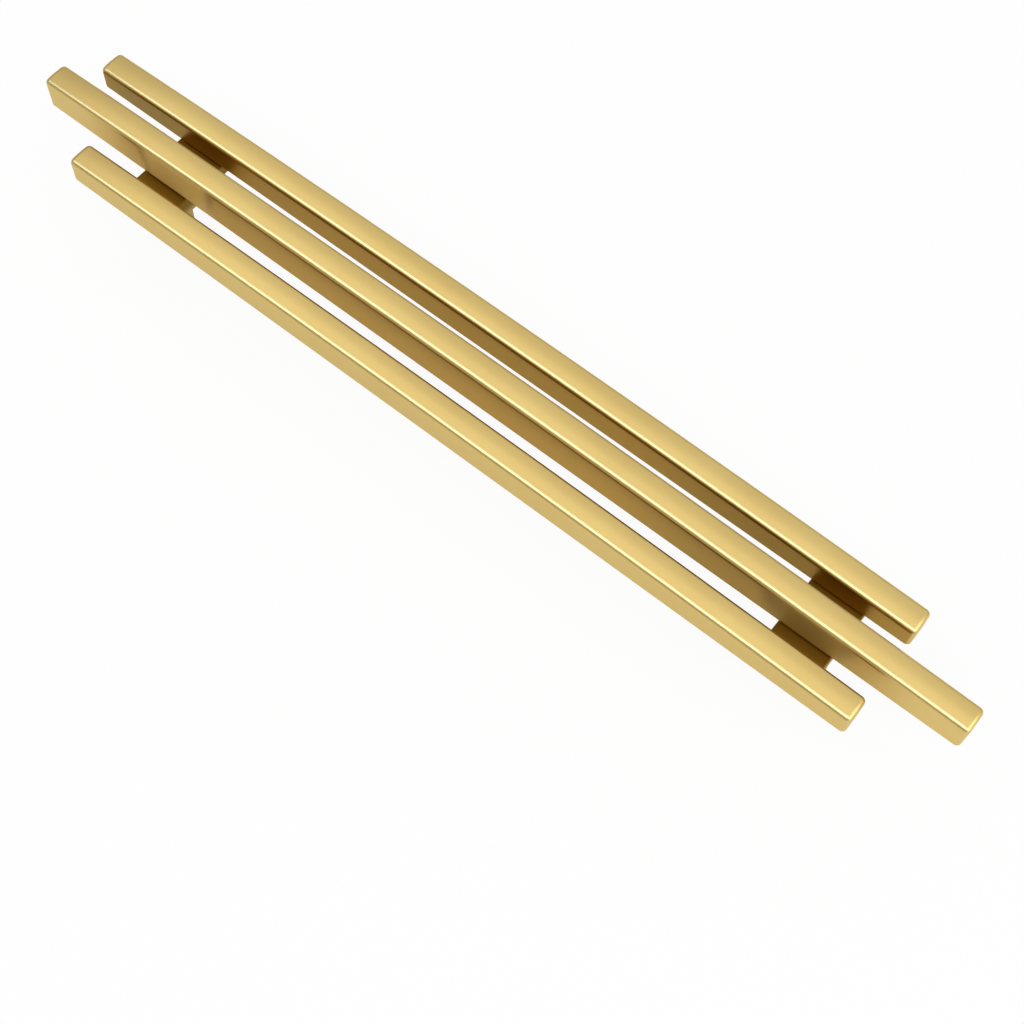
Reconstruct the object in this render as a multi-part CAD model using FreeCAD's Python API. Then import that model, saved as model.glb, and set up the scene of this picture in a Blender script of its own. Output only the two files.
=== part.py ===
import FreeCAD, Part
import math
import os

# Door pull of three parallel bars on two cross blocks and two round posts.
# The door face is z = 0, the bars run along X and the hand side is +Z.

# Bars: each overhang is measured from the middle of a cross block to the bar's end, and each
# height at the middle of the length, from which the top falls away in a long shallow arch
block_spacing = 216.0
centre_overhang = 44.5
side_overhang = 21.0
far_bar_extra = 16.5
bar_width = 8.0
centre_height = 13.5
side_height = 10.5
bar_pitch = 14.5
arch_rise = 3.0
top_crown = 0.4
top_edge_radius = 1.5
end_edge_radius = 1.4
bottom_edge_chamfer = 0.5

# Cross blocks: a thick middle on the post, with a thin wing under each side bar
block_length = 16.0
block_thickness = 6.0
wing_thickness = 3.5
wing_setback = 2.2
wing_landing = 0.7
block_corner_chamfer = 1.2
block_edge_radius = 0.6

# Posts, set towards the outer end of their blocks
standoff = 24.0
post_outset = 3.0
post_radius = 4.5
post_seat_depth = 1.0
post_chamfer = 0.4
door_bolt_radius = 2.5
door_bolt_depth = 9.0
hole_mouth_chamfer = 0.4

# Studs that join post, cross block and centre bar
stud_radius = 2.0
stud_in_post = 5.5
stud_in_bar = 6.5
stud_chamfer = 0.4
stud_key_flats = 2.0
stud_key_depth = 2.5

# Countersunk screws that hold the side bars, a little inward of the bars' middle
screw_inset = 1.2
screw_radius = 1.25
screw_length = 8.0
screw_head_radius = 2.35
screw_key_flats = 1.5
screw_key_depth = 1.0

# Fits
thread_clearance = 0.05
through_clearance = 0.2
seat_clearance = 0.05
tip_gap = 0.8

os.makedirs("parts", exist_ok=True)
up = FreeCAD.Vector(0, 0, 1)
along = FreeCAD.Vector(1, 0, 0)
across = FreeCAD.Vector(0, 1, 0)
pick = 0.01
centre_end = block_spacing / 2 + centre_overhang
side_end = block_spacing / 2 + side_overhang
arch_radius = (centre_end ** 2 + arch_rise ** 2) / (2 * arch_rise)
bar_underside = standoff
post_height = standoff - block_thickness + post_seat_depth
screw_head_height = screw_head_radius - screw_radius
sides = (("left", -1), ("right", 1))
side_bars = (("near", -1), ("far", 1))


def cylinder(radius, length, x, y, z):
    return Part.makeCylinder(radius, length, FreeCAD.Vector(x, y, z), up)


def cone(bottom_radius, top_radius, length, x, y, z):
    return Part.makeCone(bottom_radius, top_radius, length, FreeCAD.Vector(x, y, z), up)


def hexagon_key(flats, depth, x, y, z):
    corner = flats / math.sqrt(3)
    points = []
    for step in range(7):
        angle = math.radians(60 * step)
        points.append(FreeCAD.Vector(x + corner * math.cos(angle), y + corner * math.sin(angle), z))
    return Part.Face(Part.makePolygon(points)).extrude(up * depth)


# Edges that lie wholly between two heights
def level_edges(shape, low, high):
    chosen = []
    for edge in shape.Edges:
        box = edge.BoundBox
        if box.ZMin > low - pick and box.ZMax < high + pick:
            chosen.append(edge)
    return chosen


def end_edges(shape, low, high):
    return level_edges(shape, low, low) + level_edges(shape, high, high)


def upright_edges(shape):
    chosen = []
    for edge in shape.Edges:
        box = edge.BoundBox
        if box.XLength < pick and box.YLength < pick:
            chosen.append(edge)
    return chosen


def crosswise_edges(edges):
    return [edge for edge in edges if edge.BoundBox.XLength < pick]


# Section of a bar, drawn down to the door: upright sides, rounded shoulders and a crowned top
def bar_section(top, y):
    half = bar_width / 2
    crown_radius = (half ** 2 + top_crown ** 2) / (2 * top_crown)
    inset = half - top_edge_radius
    slope = crown_radius - top_edge_radius
    shoulder = top - crown_radius + math.sqrt(slope ** 2 - inset ** 2)
    turn = math.acos(inset / slope)

    def point(side, angle):
        out = side * (inset + top_edge_radius * math.cos(angle))
        return FreeCAD.Vector(0, y + out, shoulder + top_edge_radius * math.sin(angle))

    edges = [Part.Arc(point(-1, turn), FreeCAD.Vector(0, y, top), point(1, turn)).toShape()]
    feet = []
    for side in (-1, 1):
        foot = FreeCAD.Vector(0, y + side * half, 0)
        feet.append(foot)
        edges.append(Part.Arc(point(side, turn), point(side, turn / 2), point(side, 0)).toShape())
        edges.append(Part.makeLine(point(side, 0), foot))
    edges.append(Part.makeLine(feet[0], feet[1]))
    return Part.Face(Part.Wire(Part.__sortEdges__(edges)))


# The section swung about a far axis beneath, which arches it, to past the longest bar
def arched_blank(top, y):
    axis_point = FreeCAD.Vector(0, 0, top - arch_radius)
    swing = math.degrees(2 * (centre_end + bar_width) / arch_radius)
    section = bar_section(top, y)
    section.rotate(axis_point, across, -swing / 2)
    return section.revolve(axis_point, across, swing)


# A bar: the blank cut to length and flat underneath, then its ends rounded and its foot chamfered
def bar(left_end, right_end, height, y):
    trim_corner = FreeCAD.Vector(left_end, y - bar_width, bar_underside)
    trim = Part.makeBox(right_end - left_end, 2 * bar_width, 2 * height, trim_corner)
    solid = arched_blank(bar_underside + height, y).common(trim)
    outline = []
    for edge in crosswise_edges(solid.Edges):
        if edge.BoundBox.ZMax > bar_underside + pick:
            outline.append(edge)
    solid = solid.makeFillet(end_edge_radius, outline)
    return solid.makeChamfer(bottom_edge_chamfer, level_edges(solid, bar_underside, bar_underside))


# Where the pieces of one end stand
def block_x(sign):
    return sign * block_spacing / 2


def post_x(sign):
    return sign * (block_spacing / 2 + post_outset)


def side_y(row):
    return row * bar_pitch


def screw_y(row):
    return row * (bar_pitch - screw_inset)


# Centre bar, tapped from beneath for the two studs
def centre_bar():
    solid = bar(-centre_end, centre_end, centre_height, 0)
    radius = stud_radius + thread_clearance
    depth = stud_in_bar + tip_gap
    for name, sign in sides:
        solid = solid.cut(cylinder(radius, depth, post_x(sign), 0, bar_underside))
    return solid


# Side bar, tapped from beneath for its two screws: the far one runs on at its left end
def side_bar(row):
    left_end = -side_end
    if row > 0:
        left_end = -side_end - far_bar_extra
    solid = bar(left_end, side_end, side_height, side_y(row))
    radius = screw_radius + thread_clearance
    depth = screw_length - wing_thickness + tip_gap
    for name, sign in sides:
        solid = solid.cut(cylinder(radius, depth, block_x(sign), screw_y(row), bar_underside))
    return solid


# Cross block: its underside steps up through a hollow curve to the wing on each side
def cross_block(sign):
    x = block_x(sign)
    reach = bar_pitch + bar_width / 2 - wing_setback
    cove = block_thickness - wing_thickness
    landing = bar_pitch - screw_inset - screw_head_radius - wing_landing
    hub = landing - cove
    top = bar_underside
    wing = top - wing_thickness
    base = top - block_thickness
    half = block_length / 2

    def point(y, z):
        return FreeCAD.Vector(x - half, y, z)

    def hollow(side):
        bulge = cove * math.sin(math.radians(45))
        middle = point(side * (landing - bulge), base + bulge)
        return Part.Arc(point(side * hub, base), middle, point(side * landing, wing)).toShape()

    edges = [
        Part.makeLine(point(-reach, top), point(reach, top)),
        Part.makeLine(point(reach, top), point(reach, wing)),
        Part.makeLine(point(reach, wing), point(landing, wing)),
        hollow(1),
        Part.makeLine(point(hub, base), point(-hub, base)),
        hollow(-1),
        Part.makeLine(point(-landing, wing), point(-reach, wing)),
        Part.makeLine(point(-reach, wing), point(-reach, top)),
    ]
    section = Part.Wire(Part.__sortEdges__(edges))
    solid = Part.Face(section).extrude(along * block_length)
    solid = solid.makeChamfer(block_corner_chamfer, upright_edges(solid))
    solid = solid.makeFillet(block_edge_radius, crosswise_edges(level_edges(solid, top, top)))
    solid = solid.cut(cylinder(stud_radius + through_clearance, block_thickness, post_x(sign), 0, base))
    solid = solid.cut(cylinder(post_radius + seat_clearance, post_seat_depth, post_x(sign), 0, base))
    for name, row in side_bars:
        y = screw_y(row)
        solid = solid.cut(cylinder(screw_radius + through_clearance, wing_thickness, x, y, wing))
        solid = solid.cut(cone(screw_head_radius, screw_radius, screw_head_height, x, y, wing))
    return solid


# Round post, tapped at the door end for the door bolt and at the block end for the stud
def post(sign):
    x = post_x(sign)
    solid = cylinder(post_radius, post_height, x, 0, 0)
    solid = solid.makeChamfer(post_chamfer, end_edges(solid, 0, post_height))
    solid = solid.cut(cylinder(door_bolt_radius, door_bolt_depth, x, 0, 0))
    mouth = cone(door_bolt_radius + hole_mouth_chamfer, door_bolt_radius, hole_mouth_chamfer, x, 0, 0)
    solid = solid.cut(mouth)
    stud_hole = cylinder(stud_radius + thread_clearance, stud_in_post, x, 0, post_height - stud_in_post)
    return solid.cut(stud_hole)


# Headless stud with a key socket in its upper end, its foot on the floor of the post's upper hole
def post_stud(sign):
    x = post_x(sign)
    foot = post_height - stud_in_post
    head = bar_underside + stud_in_bar
    solid = cylinder(stud_radius, head - foot, x, 0, foot)
    solid = solid.makeChamfer(stud_chamfer, end_edges(solid, foot, head))
    return solid.cut(hexagon_key(stud_key_flats, stud_key_depth, x, 0, head - stud_key_depth))


# Countersunk screw, its head flush with the wing's underside
def block_screw(sign, row):
    x = block_x(sign)
    y = screw_y(row)
    head = bar_underside - wing_thickness
    solid = cone(screw_head_radius, screw_radius, screw_head_height, x, y, head)
    shank = cylinder(screw_radius, screw_length - screw_head_height, x, y, head + screw_head_height)
    solid = solid.fuse(shank).removeSplitter()
    return solid.cut(hexagon_key(screw_key_flats, screw_key_depth, x, y, head))


def save(shape, node):
    solid = shape.Solids[0]
    solid.exportStep("parts/" + node + ".step")
    print(node, "valid", solid.isValid(), "solids", len(shape.Solids), "volume", round(solid.Volume, 1))


save(centre_bar(), "centre_bar")
for row_name, row in side_bars:
    save(side_bar(row), "side_bar_" + row_name)
for side_name, sign in sides:
    save(cross_block(sign), "cross_block_" + side_name)
    save(post(sign), "post_" + side_name)
    save(post_stud(sign), "post_stud_" + side_name)
    for row_name, row in side_bars:
        save(block_screw(sign, row), "block_screw_" + row_name + "_" + side_name)
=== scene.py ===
import math
import bpy
from mathutils import Matrix, Vector

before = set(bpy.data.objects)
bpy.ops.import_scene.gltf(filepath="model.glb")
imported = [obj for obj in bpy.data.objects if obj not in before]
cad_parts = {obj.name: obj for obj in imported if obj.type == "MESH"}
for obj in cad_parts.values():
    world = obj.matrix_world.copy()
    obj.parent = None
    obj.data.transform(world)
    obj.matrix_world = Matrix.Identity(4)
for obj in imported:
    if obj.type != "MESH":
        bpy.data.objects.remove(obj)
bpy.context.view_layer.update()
print("door pull: frame loaded")


# A shader value that takes part in plain arithmetic
class Wire:
    def __init__(self, finish, socket):
        self.finish = finish
        self.socket = socket

    def maths(self, operation, first, second):
        return self.finish.node("Math", {"operation": operation}, {0: first, 1: second})

    def __add__(self, other):
        return self.maths("ADD", self, other)

    def __sub__(self, other):
        return self.maths("SUBTRACT", self, other)

    def __rsub__(self, other):
        return self.maths("SUBTRACT", other, self)

    def __mul__(self, other):
        return self.maths("MULTIPLY", self, other)

    def __abs__(self):
        return self.maths("ABSOLUTE", self, 0.0)

    def __lt__(self, other):                       # 1 where it is less, else 0
        return self.maths("LESS_THAN", self, other)

    __radd__ = __add__
    __rmul__ = __mul__


# The nodes of one material, of the world or of a lamp
class Finish:
    def __init__(self, owner):
        owner.use_nodes = True
        self.tree = owner.node_tree
        self.tree.nodes.clear()

    def node(self, kind, settings=None, values=None, output=0):
        made = self.tree.nodes.new("ShaderNode" + kind)
        for key, value in (settings or {}).items():
            setattr(made, key, value)
        for key, value in (values or {}).items():
            if isinstance(value, Wire):
                self.tree.links.new(value.socket, made.inputs[key])
            else:
                made.inputs[key].default_value = value
        if isinstance(output, tuple):
            return [Wire(self, made.outputs[name]) for name in output]
        return Wire(self, made.outputs[output]) if made.outputs else made

    def surface(self, shader):
        self.node("OutputMaterial", {}, {"Surface": shader})

    def metres(self, stretch=(1, 1, 1)):           # a point of the object, in metres times stretch
        place = self.node("TexCoord", output="Object")
        return self.node("VectorMath", {"operation": "MULTIPLY"}, {0: place, 1: stretch})

    # Noise about 0.5, with a blotch every size metres
    def cloud(self, size, detail=2.0, stretch=(1, 1, 1)):
        values = {"Vector": self.metres(stretch), "Scale": 1 / size, "Detail": detail}
        return self.node("TexNoise", {}, values)

    def axes(self, source):                        # the three numbers of a texture coordinate
        vector = self.node("TexCoord", output=source)
        return self.node("SeparateXYZ", {}, {"Vector": vector}, output=("X", "Y", "Z"))

    def rise(self, value, start, end):             # 0 at start, easing to 1 at end
        settings = {"interpolation_type": "SMOOTHSTEP"}
        values = {"Value": value, "From Min": start, "From Max": end}
        return self.node("MapRange", settings, values)

    def blend(self, share, first, second):
        settings = {"data_type": "RGBA"}
        values = {"Factor": share, "A": first, "B": second}
        return self.node("Mix", settings, values, output="Result")


def linear(red, green, blue):                      # a screen colour, 0 to 255, in shader terms
    def channel(value):
        value = value / 255
        return value / 12.92 if value <= 0.04045 else ((value + 0.055) / 1.055) ** 2.4
    return (channel(red), channel(green), channel(blue), 1.0)


# Here and in the next two, a pair runs from none of a tone to all of it: in metres, or in how far
# the surface faces up or sideways, where 1 is square to it
shoulderEdge = {
    "begins": (0.12, 0.3),
    "ends": (0.75, 0.5),
    "upward": (0.3, 0.5),
}


# The bars' rounded upper edges on the near side, where the surface slants from level to upright
# and the near lamp's highlight falls: the mask of the painted highlight tint
def onPaintedHighlight(finish):
    _, sideways, upward = finish.axes("Normal")
    slant = 0 - sideways
    band = finish.rise(slant, *shoulderEdge["begins"]) * finish.rise(slant, *shoulderEdge["ends"])
    return band * finish.rise(upward, *shoulderEdge["upward"])


paintedShade = {
    "upright": (0.8, 0.98),                        # the bars' sides
    "outerSides": (0.0182, 0.0172),                # those that face away from the gaps get no painted shade
    "barEnds": (0.142, 0.116),
    "farGap": (0.004, 0.006),
    "farGapLonger": 0.022,                         # reaches further there, at both ends
    "rightBlock": 0.088,                           # painted shade deepest here, on that block's inner side
    "rightBlockReach": (0.05, 0.0),
    "rightBlockDepth": 0.6,
    "farBarLeft": (-0.085, -0.132),                # painted shade deeper towards the left end, between the centre and far bars
    "blockFaces": (-0.6, -0.3),                    # not on what faces down
    "blockTop": (0.0246, 0.0242),
    "blockFoot": (0.0175, 0.0215),
}


# Painted shade on the sides in the two gaps, deeper on and beside the upper part of the cross
# blocks, where shade falls
def paintedShadeMasks(finish):
    x, y, z = finish.axes("Object")
    _, sideways, upward = finish.axes("Normal")
    farGap = finish.rise(y, *paintedShade["farGap"])
    reach = abs(x) - farGap * paintedShade["farGapLonger"]
    between = finish.rise(abs(y), *paintedShade["outerSides"]) * finish.rise(reach, *paintedShade["barEnds"])
    gapShade = finish.rise(abs(sideways), *paintedShade["upright"]) * between
    toRightBlock = finish.rise(abs(x - paintedShade["rightBlock"]), *paintedShade["rightBlockReach"])
    farBarLeft = finish.rise(x, *paintedShade["farBarLeft"]) * farGap
    beside = toRightBlock * paintedShade["rightBlockDepth"] + farBarLeft
    height = finish.rise(z, *paintedShade["blockTop"]) * finish.rise(z, *paintedShade["blockFoot"])
    block = finish.rise(upward, *paintedShade["blockFaces"]) * height
    return gapShade, gapShade * beside + block


dullPatch = {
    "fromMiddle": 0.1048,
    "toRight": 0.0022,                             # both patches lie a little further right
    "reach": (0.016, 0.009),
    "centreBar": (0.006, 0.0045),
    "barFoot": (0.0242, 0.0252),
    "depth": 0.65,
    "leftDeeper": 0.35,
}


# The centre bar's sides over the cross blocks: duller, and with the painted shade of the bar sides
# left off, so they hardly mirror them
def onDullPatch(finish):
    x, y, z = finish.axes("Object")
    _, sideways, _ = finish.axes("Normal")
    toBlock = abs(abs(x - dullPatch["toRight"]) - dullPatch["fromMiddle"])
    overBlock = finish.rise(toBlock, *dullPatch["reach"])
    onBar = finish.rise(abs(y), *dullPatch["centreBar"]) * finish.rise(z, *dullPatch["barFoot"])
    upright = finish.rise(abs(sideways), *paintedShade["upright"])
    return overBlock * onBar * upright * (dullPatch["depth"] + (x < 0) * dullPatch["leftDeeper"])


satinGold = {
    "light": linear(226, 199, 127),
    "deep": linear(217, 187, 114),
    "shoulder": linear(206, 190, 142),             # painted highlight tint: paler and whiter on the rounded near edges, where the near lamp's highlight falls
    "gapShade": linear(186, 145, 61),                   # painted shade between the bars
    "corner": linear(146, 113, 42),                # painted shade on and beside the cross blocks
    "edgeTint": (1.0, 0.95, 0.75, 1.0),            # keeps its colour where it is seen at a slant
    "roughness": 0.33,
    "dullness": 0.6,                               # added in the dull patches
    "coat": 0.08,
    "coatRoughness": 0.12,
    "cloudSize": 0.03,
    "cloudRoughness": 0.05,
    "grainSize": 0.00035,
    "grainRoughness": 0.08,
    "grainStrength": 0.06,
    "grainHeight": 0.00003,
}


# Lacquered satin gold: fine blasted grain, faint cloudiness, no brush lines; with painted shade in
# the gaps and at the cross blocks, and a painted highlight tint on the near edges
def makeSatinGold(name):
    material = bpy.data.materials.new(name)
    finish = Finish(material)
    cloudiness = finish.cloud(satinGold["cloudSize"])
    grain = finish.cloud(satinGold["grainSize"], 1.0)
    # masks for painted shade: between the bars, and on and beside the cross blocks
    gapShade, corner = paintedShadeMasks(finish)
    dull = onDullPatch(finish)
    level = finish.blend(cloudiness, satinGold["deep"], satinGold["light"])
    # painted highlight tint: a paler, whiter base colour where the near lamp's highlight falls
    highlightTinted = finish.blend(onPaintedHighlight(finish), level, satinGold["shoulder"])
    inGaps = finish.blend(gapShade * (1 - dull), highlightTinted, satinGold["gapShade"])
    grainRoughness = (grain - 0.5) * satinGold["grainRoughness"]
    cloudRoughness = (cloudiness - 0.5) * satinGold["cloudRoughness"]
    roughness = satinGold["roughness"] + grainRoughness + cloudRoughness
    bump = finish.node("Bump", {}, {
        "Strength": satinGold["grainStrength"],
        "Distance": satinGold["grainHeight"],
        "Height": grain,
    })
    shader = finish.node("BsdfPrincipled", {}, {
        "Base Color": finish.blend(corner, inGaps, satinGold["corner"]),
        "Metallic": 1.0,
        "Specular Tint": satinGold["edgeTint"],
        "Roughness": roughness + dull * satinGold["dullness"],
        "Coat Weight": satinGold["coat"],
        "Coat Roughness": satinGold["coatRoughness"],
        "Normal": bump,
    })
    finish.surface(shader)
    return material


fastenerSteel = {
    "colour": linear(196, 194, 188),
    "deep": linear(160, 158, 152),
    "roughness": 0.34,
    "cloudSize": 0.004,
    "ringPitch": 0.00025,
    "ringStretch": (0.2, 0.2, 1),                  # drawn out across the stud, close along it
    "ringRoughness": 0.2,
    "ringStrength": 0.2,
    "ringHeight": 0.00005,
}


# Turned steel: rings round the stud or screw
def makeFastenerSteel(name):
    material = bpy.data.materials.new(name)
    finish = Finish(material)
    cloudiness = finish.cloud(fastenerSteel["cloudSize"])
    rings = finish.cloud(fastenerSteel["ringPitch"], 1.0, fastenerSteel["ringStretch"])
    bump = finish.node("Bump", {}, {
        "Strength": fastenerSteel["ringStrength"],
        "Distance": fastenerSteel["ringHeight"],
        "Height": rings,
    })
    ringRoughness = (rings - 0.5) * fastenerSteel["ringRoughness"]
    shader = finish.node("BsdfPrincipled", {}, {
        "Base Color": finish.blend(cloudiness, fastenerSteel["deep"], fastenerSteel["colour"]),
        "Metallic": 1.0,
        "Roughness": fastenerSteel["roughness"] + ringRoughness,
        "Normal": bump,
    })
    finish.surface(shader)
    return material


def dress(words, material):                        # all nodes whose names start so get it
    for name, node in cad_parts.items():
        if name.startswith(words):
            node.data.materials.clear()
            node.data.materials.append(material)


barShape = {                                       # metres, as the solids have them
    "halfWidth": 0.004,
    "archRise": 0.003,
    "archReach": 0.1525,
    "crown": 0.0004,
    "shoulder": 0.0015,
    "end": 0.0014,
    "flatEnd": 0.999,                              # a face squarer than this is a flat end
    "foot": 0.0245,                                # below it are plain chamfers and flats
    "holeDepth": 0.0045,                           # how near the top a drilled hole comes
    "rows": {                                      # place across, and height of the top
        "centre_bar": (0.0, 0.0375),
        "side_bar_near": (-0.0145, 0.0345),
        "side_bar_far": (0.0145, 0.0345),
    },
}


def arcRadius(half, height):                       # from half its width and its height
    return (half ** 2 + height ** 2) / (2 * height)


# Where a bar's surface faces: its rounded section, bent along the arch and rolled over at the ends
def barNormal(point, row, top, ends):
    archRadius = arcRadius(barShape["archReach"], barShape["archRise"])
    crownRadius = arcRadius(barShape["halfWidth"], barShape["crown"])
    inset = barShape["halfWidth"] - barShape["shoulder"]
    slope = crownRadius - barShape["shoulder"]
    rise = point.z - top + archRadius
    bend = math.atan2(point.x, rise)
    aboveCrown = math.hypot(point.x, rise) - archRadius + crownRadius
    out = abs(point.y - row)
    aboveShoulder = aboveCrown - math.sqrt(slope ** 2 - inset ** 2)
    turn = math.atan2(aboveShoulder, out - inset)
    if aboveShoulder <= 0:                         # upright side
        turn = 0.0
    elif turn > math.acos(inset / slope):          # crown
        turn = math.atan2(aboveCrown, out)
    toEnd = min(point.x - ends[0], ends[1] - point.x)
    roll = math.asin(min(1.0, max(0.0, 1 - toEnd / barShape["end"])))
    level = math.copysign(math.cos(turn), point.y - row) * math.cos(roll)
    upward = math.sin(turn) * math.cos(roll)
    along = math.copysign(math.sin(roll), point.x)
    return Vector((upward * math.sin(bend) + along, level, upward * math.cos(bend))).normalized()


def smoothBar(name, row, top):                     # exact shading on the bar's facets
    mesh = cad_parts[name].data
    alongBar = [corner.co.x for corner in mesh.vertices]
    ends = (min(alongBar), max(alongBar))
    normals = [Vector(corner.vector) for corner in mesh.corner_normals]
    for face in mesh.polygons:
        middle = face.center
        inHole = (
            abs(middle.y - row) < barShape["halfWidth"] - barShape["crown"]
            and middle.z < top - barShape["holeDepth"]
            and min(middle.x - ends[0], ends[1] - middle.x) > barShape["end"]
        )
        if middle.z < barShape["foot"] or inHole:
            continue
        face.use_smooth = True
        flatEnd = abs(face.normal.x) > barShape["flatEnd"]
        for loop in face.loop_indices:
            point = mesh.vertices[mesh.loops[loop].vertex_index].co
            normals[loop] = face.normal.copy() if flatEnd else barNormal(point, row, top, ends)
    mesh.normals_split_custom_set(normals)


gold = makeSatinGold("satin_gold")
dress(("centre_bar", "side_bar", "cross_block", "post_left", "post_right"), gold)
dress(("post_stud", "block_screw"), makeFastenerSteel("fastener_steel"))
for name, (row, top) in barShape["rows"].items():
    smoothBar(name, row, top)
print("door pull: finishes on, bars smoothed")


stage = {
    "floorHalf": 4.0,
    "floorColour": linear(226, 226, 225),
    "white": (1, 1, 1, 1),
    "whiteToCamera": 0.93,                         # how far the camera sees a plain white floor
    "whiteToMetal": 0.18,                          # how far floor and sky are plain white in metal
    "fill": 0.25,                                  # the sky's light on everything else
    "lampReach": 1.25,
    "mirroredOnce": 1.5,                           # fewer mirrorings than this are one
}


# White for the camera, and partly for what metal mirrors
def backgroundShare(finish, toCamera=1.0):
    rays = ("Is Camera Ray", "Is Glossy Ray", "Is Transmission Ray")
    seen, mirrored, through = finish.node("LightPath", output=rays)
    return seen * toCamera + (mirrored + through) * stage["whiteToMetal"]


def makeFloor():
    half = stage["floorHalf"]
    corners = [(-half, -half, 0), (half, -half, 0), (half, half, 0), (-half, half, 0)]
    mesh = bpy.data.meshes.new("floor")
    mesh.from_pydata(corners, [], [(0, 1, 2, 3)])
    floor = bpy.data.objects.new("floor", mesh)
    bpy.context.scene.collection.objects.link(floor)
    material = bpy.data.materials.new("floor_paint")
    finish = Finish(material)
    share = backgroundShare(finish, stage["whiteToCamera"])
    paint = finish.node("BsdfDiffuse", {}, {"Color": stage["floorColour"]})
    glow = finish.node("Emission", {}, {"Color": stage["white"], "Strength": 1.0})
    finish.surface(finish.node("MixShader", {}, {0: share, 1: paint, 2: glow}))
    mesh.materials.append(material)


def makeWorld():
    world = bpy.data.worlds.new("studio")
    bpy.context.scene.world = world
    finish = Finish(world)
    strength = stage["fill"] + backgroundShare(finish) * (1 - stage["fill"])
    sky = finish.node("Background", {}, {"Color": stage["white"], "Strength": strength})
    finish.node("OutputWorld", {}, {"Surface": sky})


# Bearing from the far side and lean from straight up are in degrees, and size is in metres
softboxes = {
    "far_panel": {"bearing": 0, "lean": 44, "size": (2.4, 1.22), "brightness": 0.42},
    "top_panel": {"bearing": 0, "lean": 12, "size": (2.4, 0.42), "brightness": 0.75},
    "near_panel": {
        "bearing": 180, "lean": 26, "size": (2.4, 0.9), "brightness": 2.3, "twiceMirrored": 0.2,
    },
    "left_panel": {"bearing": 270, "lean": 48, "size": (1.2, 0.9), "brightness": 0.1},
    "right_panel": {"bearing": 90, "lean": 64, "size": (1.2, 0.9), "brightness": 2.0},
}


def makeSoftbox(name, bearing, lean, size, brightness, twiceMirrored=None):
    data = bpy.data.lights.new(name, "AREA")
    data.shape = "RECTANGLE"
    data.size, data.size_y = size
    data.energy = brightness * math.pi * size[0] * size[1]
    if twiceMirrored:                              # dimmer for metal that is seen in metal
        finish = Finish(data)
        seen = finish.node("LightPath", output="Glossy Depth") < stage["mirroredOnce"]
        strength = twiceMirrored + seen * (1 - twiceMirrored)
        glow = finish.node("Emission", {}, {"Color": stage["white"], "Strength": strength})
        finish.node("OutputLight", {}, {"Surface": glow})
    lamp = bpy.data.objects.new(name, data)
    lamp.rotation_euler = (-math.radians(lean), 0, -math.radians(bearing))
    lamp.location = lamp.rotation_euler.to_matrix() @ Vector((0, 0, stage["lampReach"]))
    bpy.context.scene.collection.objects.link(lamp)


makeFloor()
makeWorld()
for name, values in softboxes.items():
    makeSoftbox(name, **values)
print("door pull: floor and lamps in")


camera = {
    "place": (0.1396, -0.1790, 0.4121),
    "aim": (0.0319, -0.0247, 0.030),
    "roll": 41.81,                                 # degrees, 0 has the bars' length level
    "lens": 59.73,
    "sensor": 36,
    "clipStart": 0.01,
}


def makeCamera():
    data = bpy.data.cameras.new("camera")
    data.sensor_width = camera["sensor"]
    data.lens = camera["lens"]
    data.clip_start = camera["clipStart"]
    place = Vector(camera["place"])
    back = (place - Vector(camera["aim"])).normalized()
    level = Vector((0, 1, 0)).cross(back).normalized()
    turn = math.radians(camera["roll"])
    right = level * math.cos(turn) + back.cross(level) * math.sin(turn)
    facing = Matrix((right, back.cross(right), back)).transposed().to_4x4()
    made = bpy.data.objects.new("camera", data)
    made.matrix_world = Matrix.Translation(place) @ facing
    bpy.context.scene.collection.objects.link(made)
    bpy.context.scene.camera = made


makeCamera()
bpy.context.scene.view_settings.view_transform = "Standard"
print("door pull: camera set")
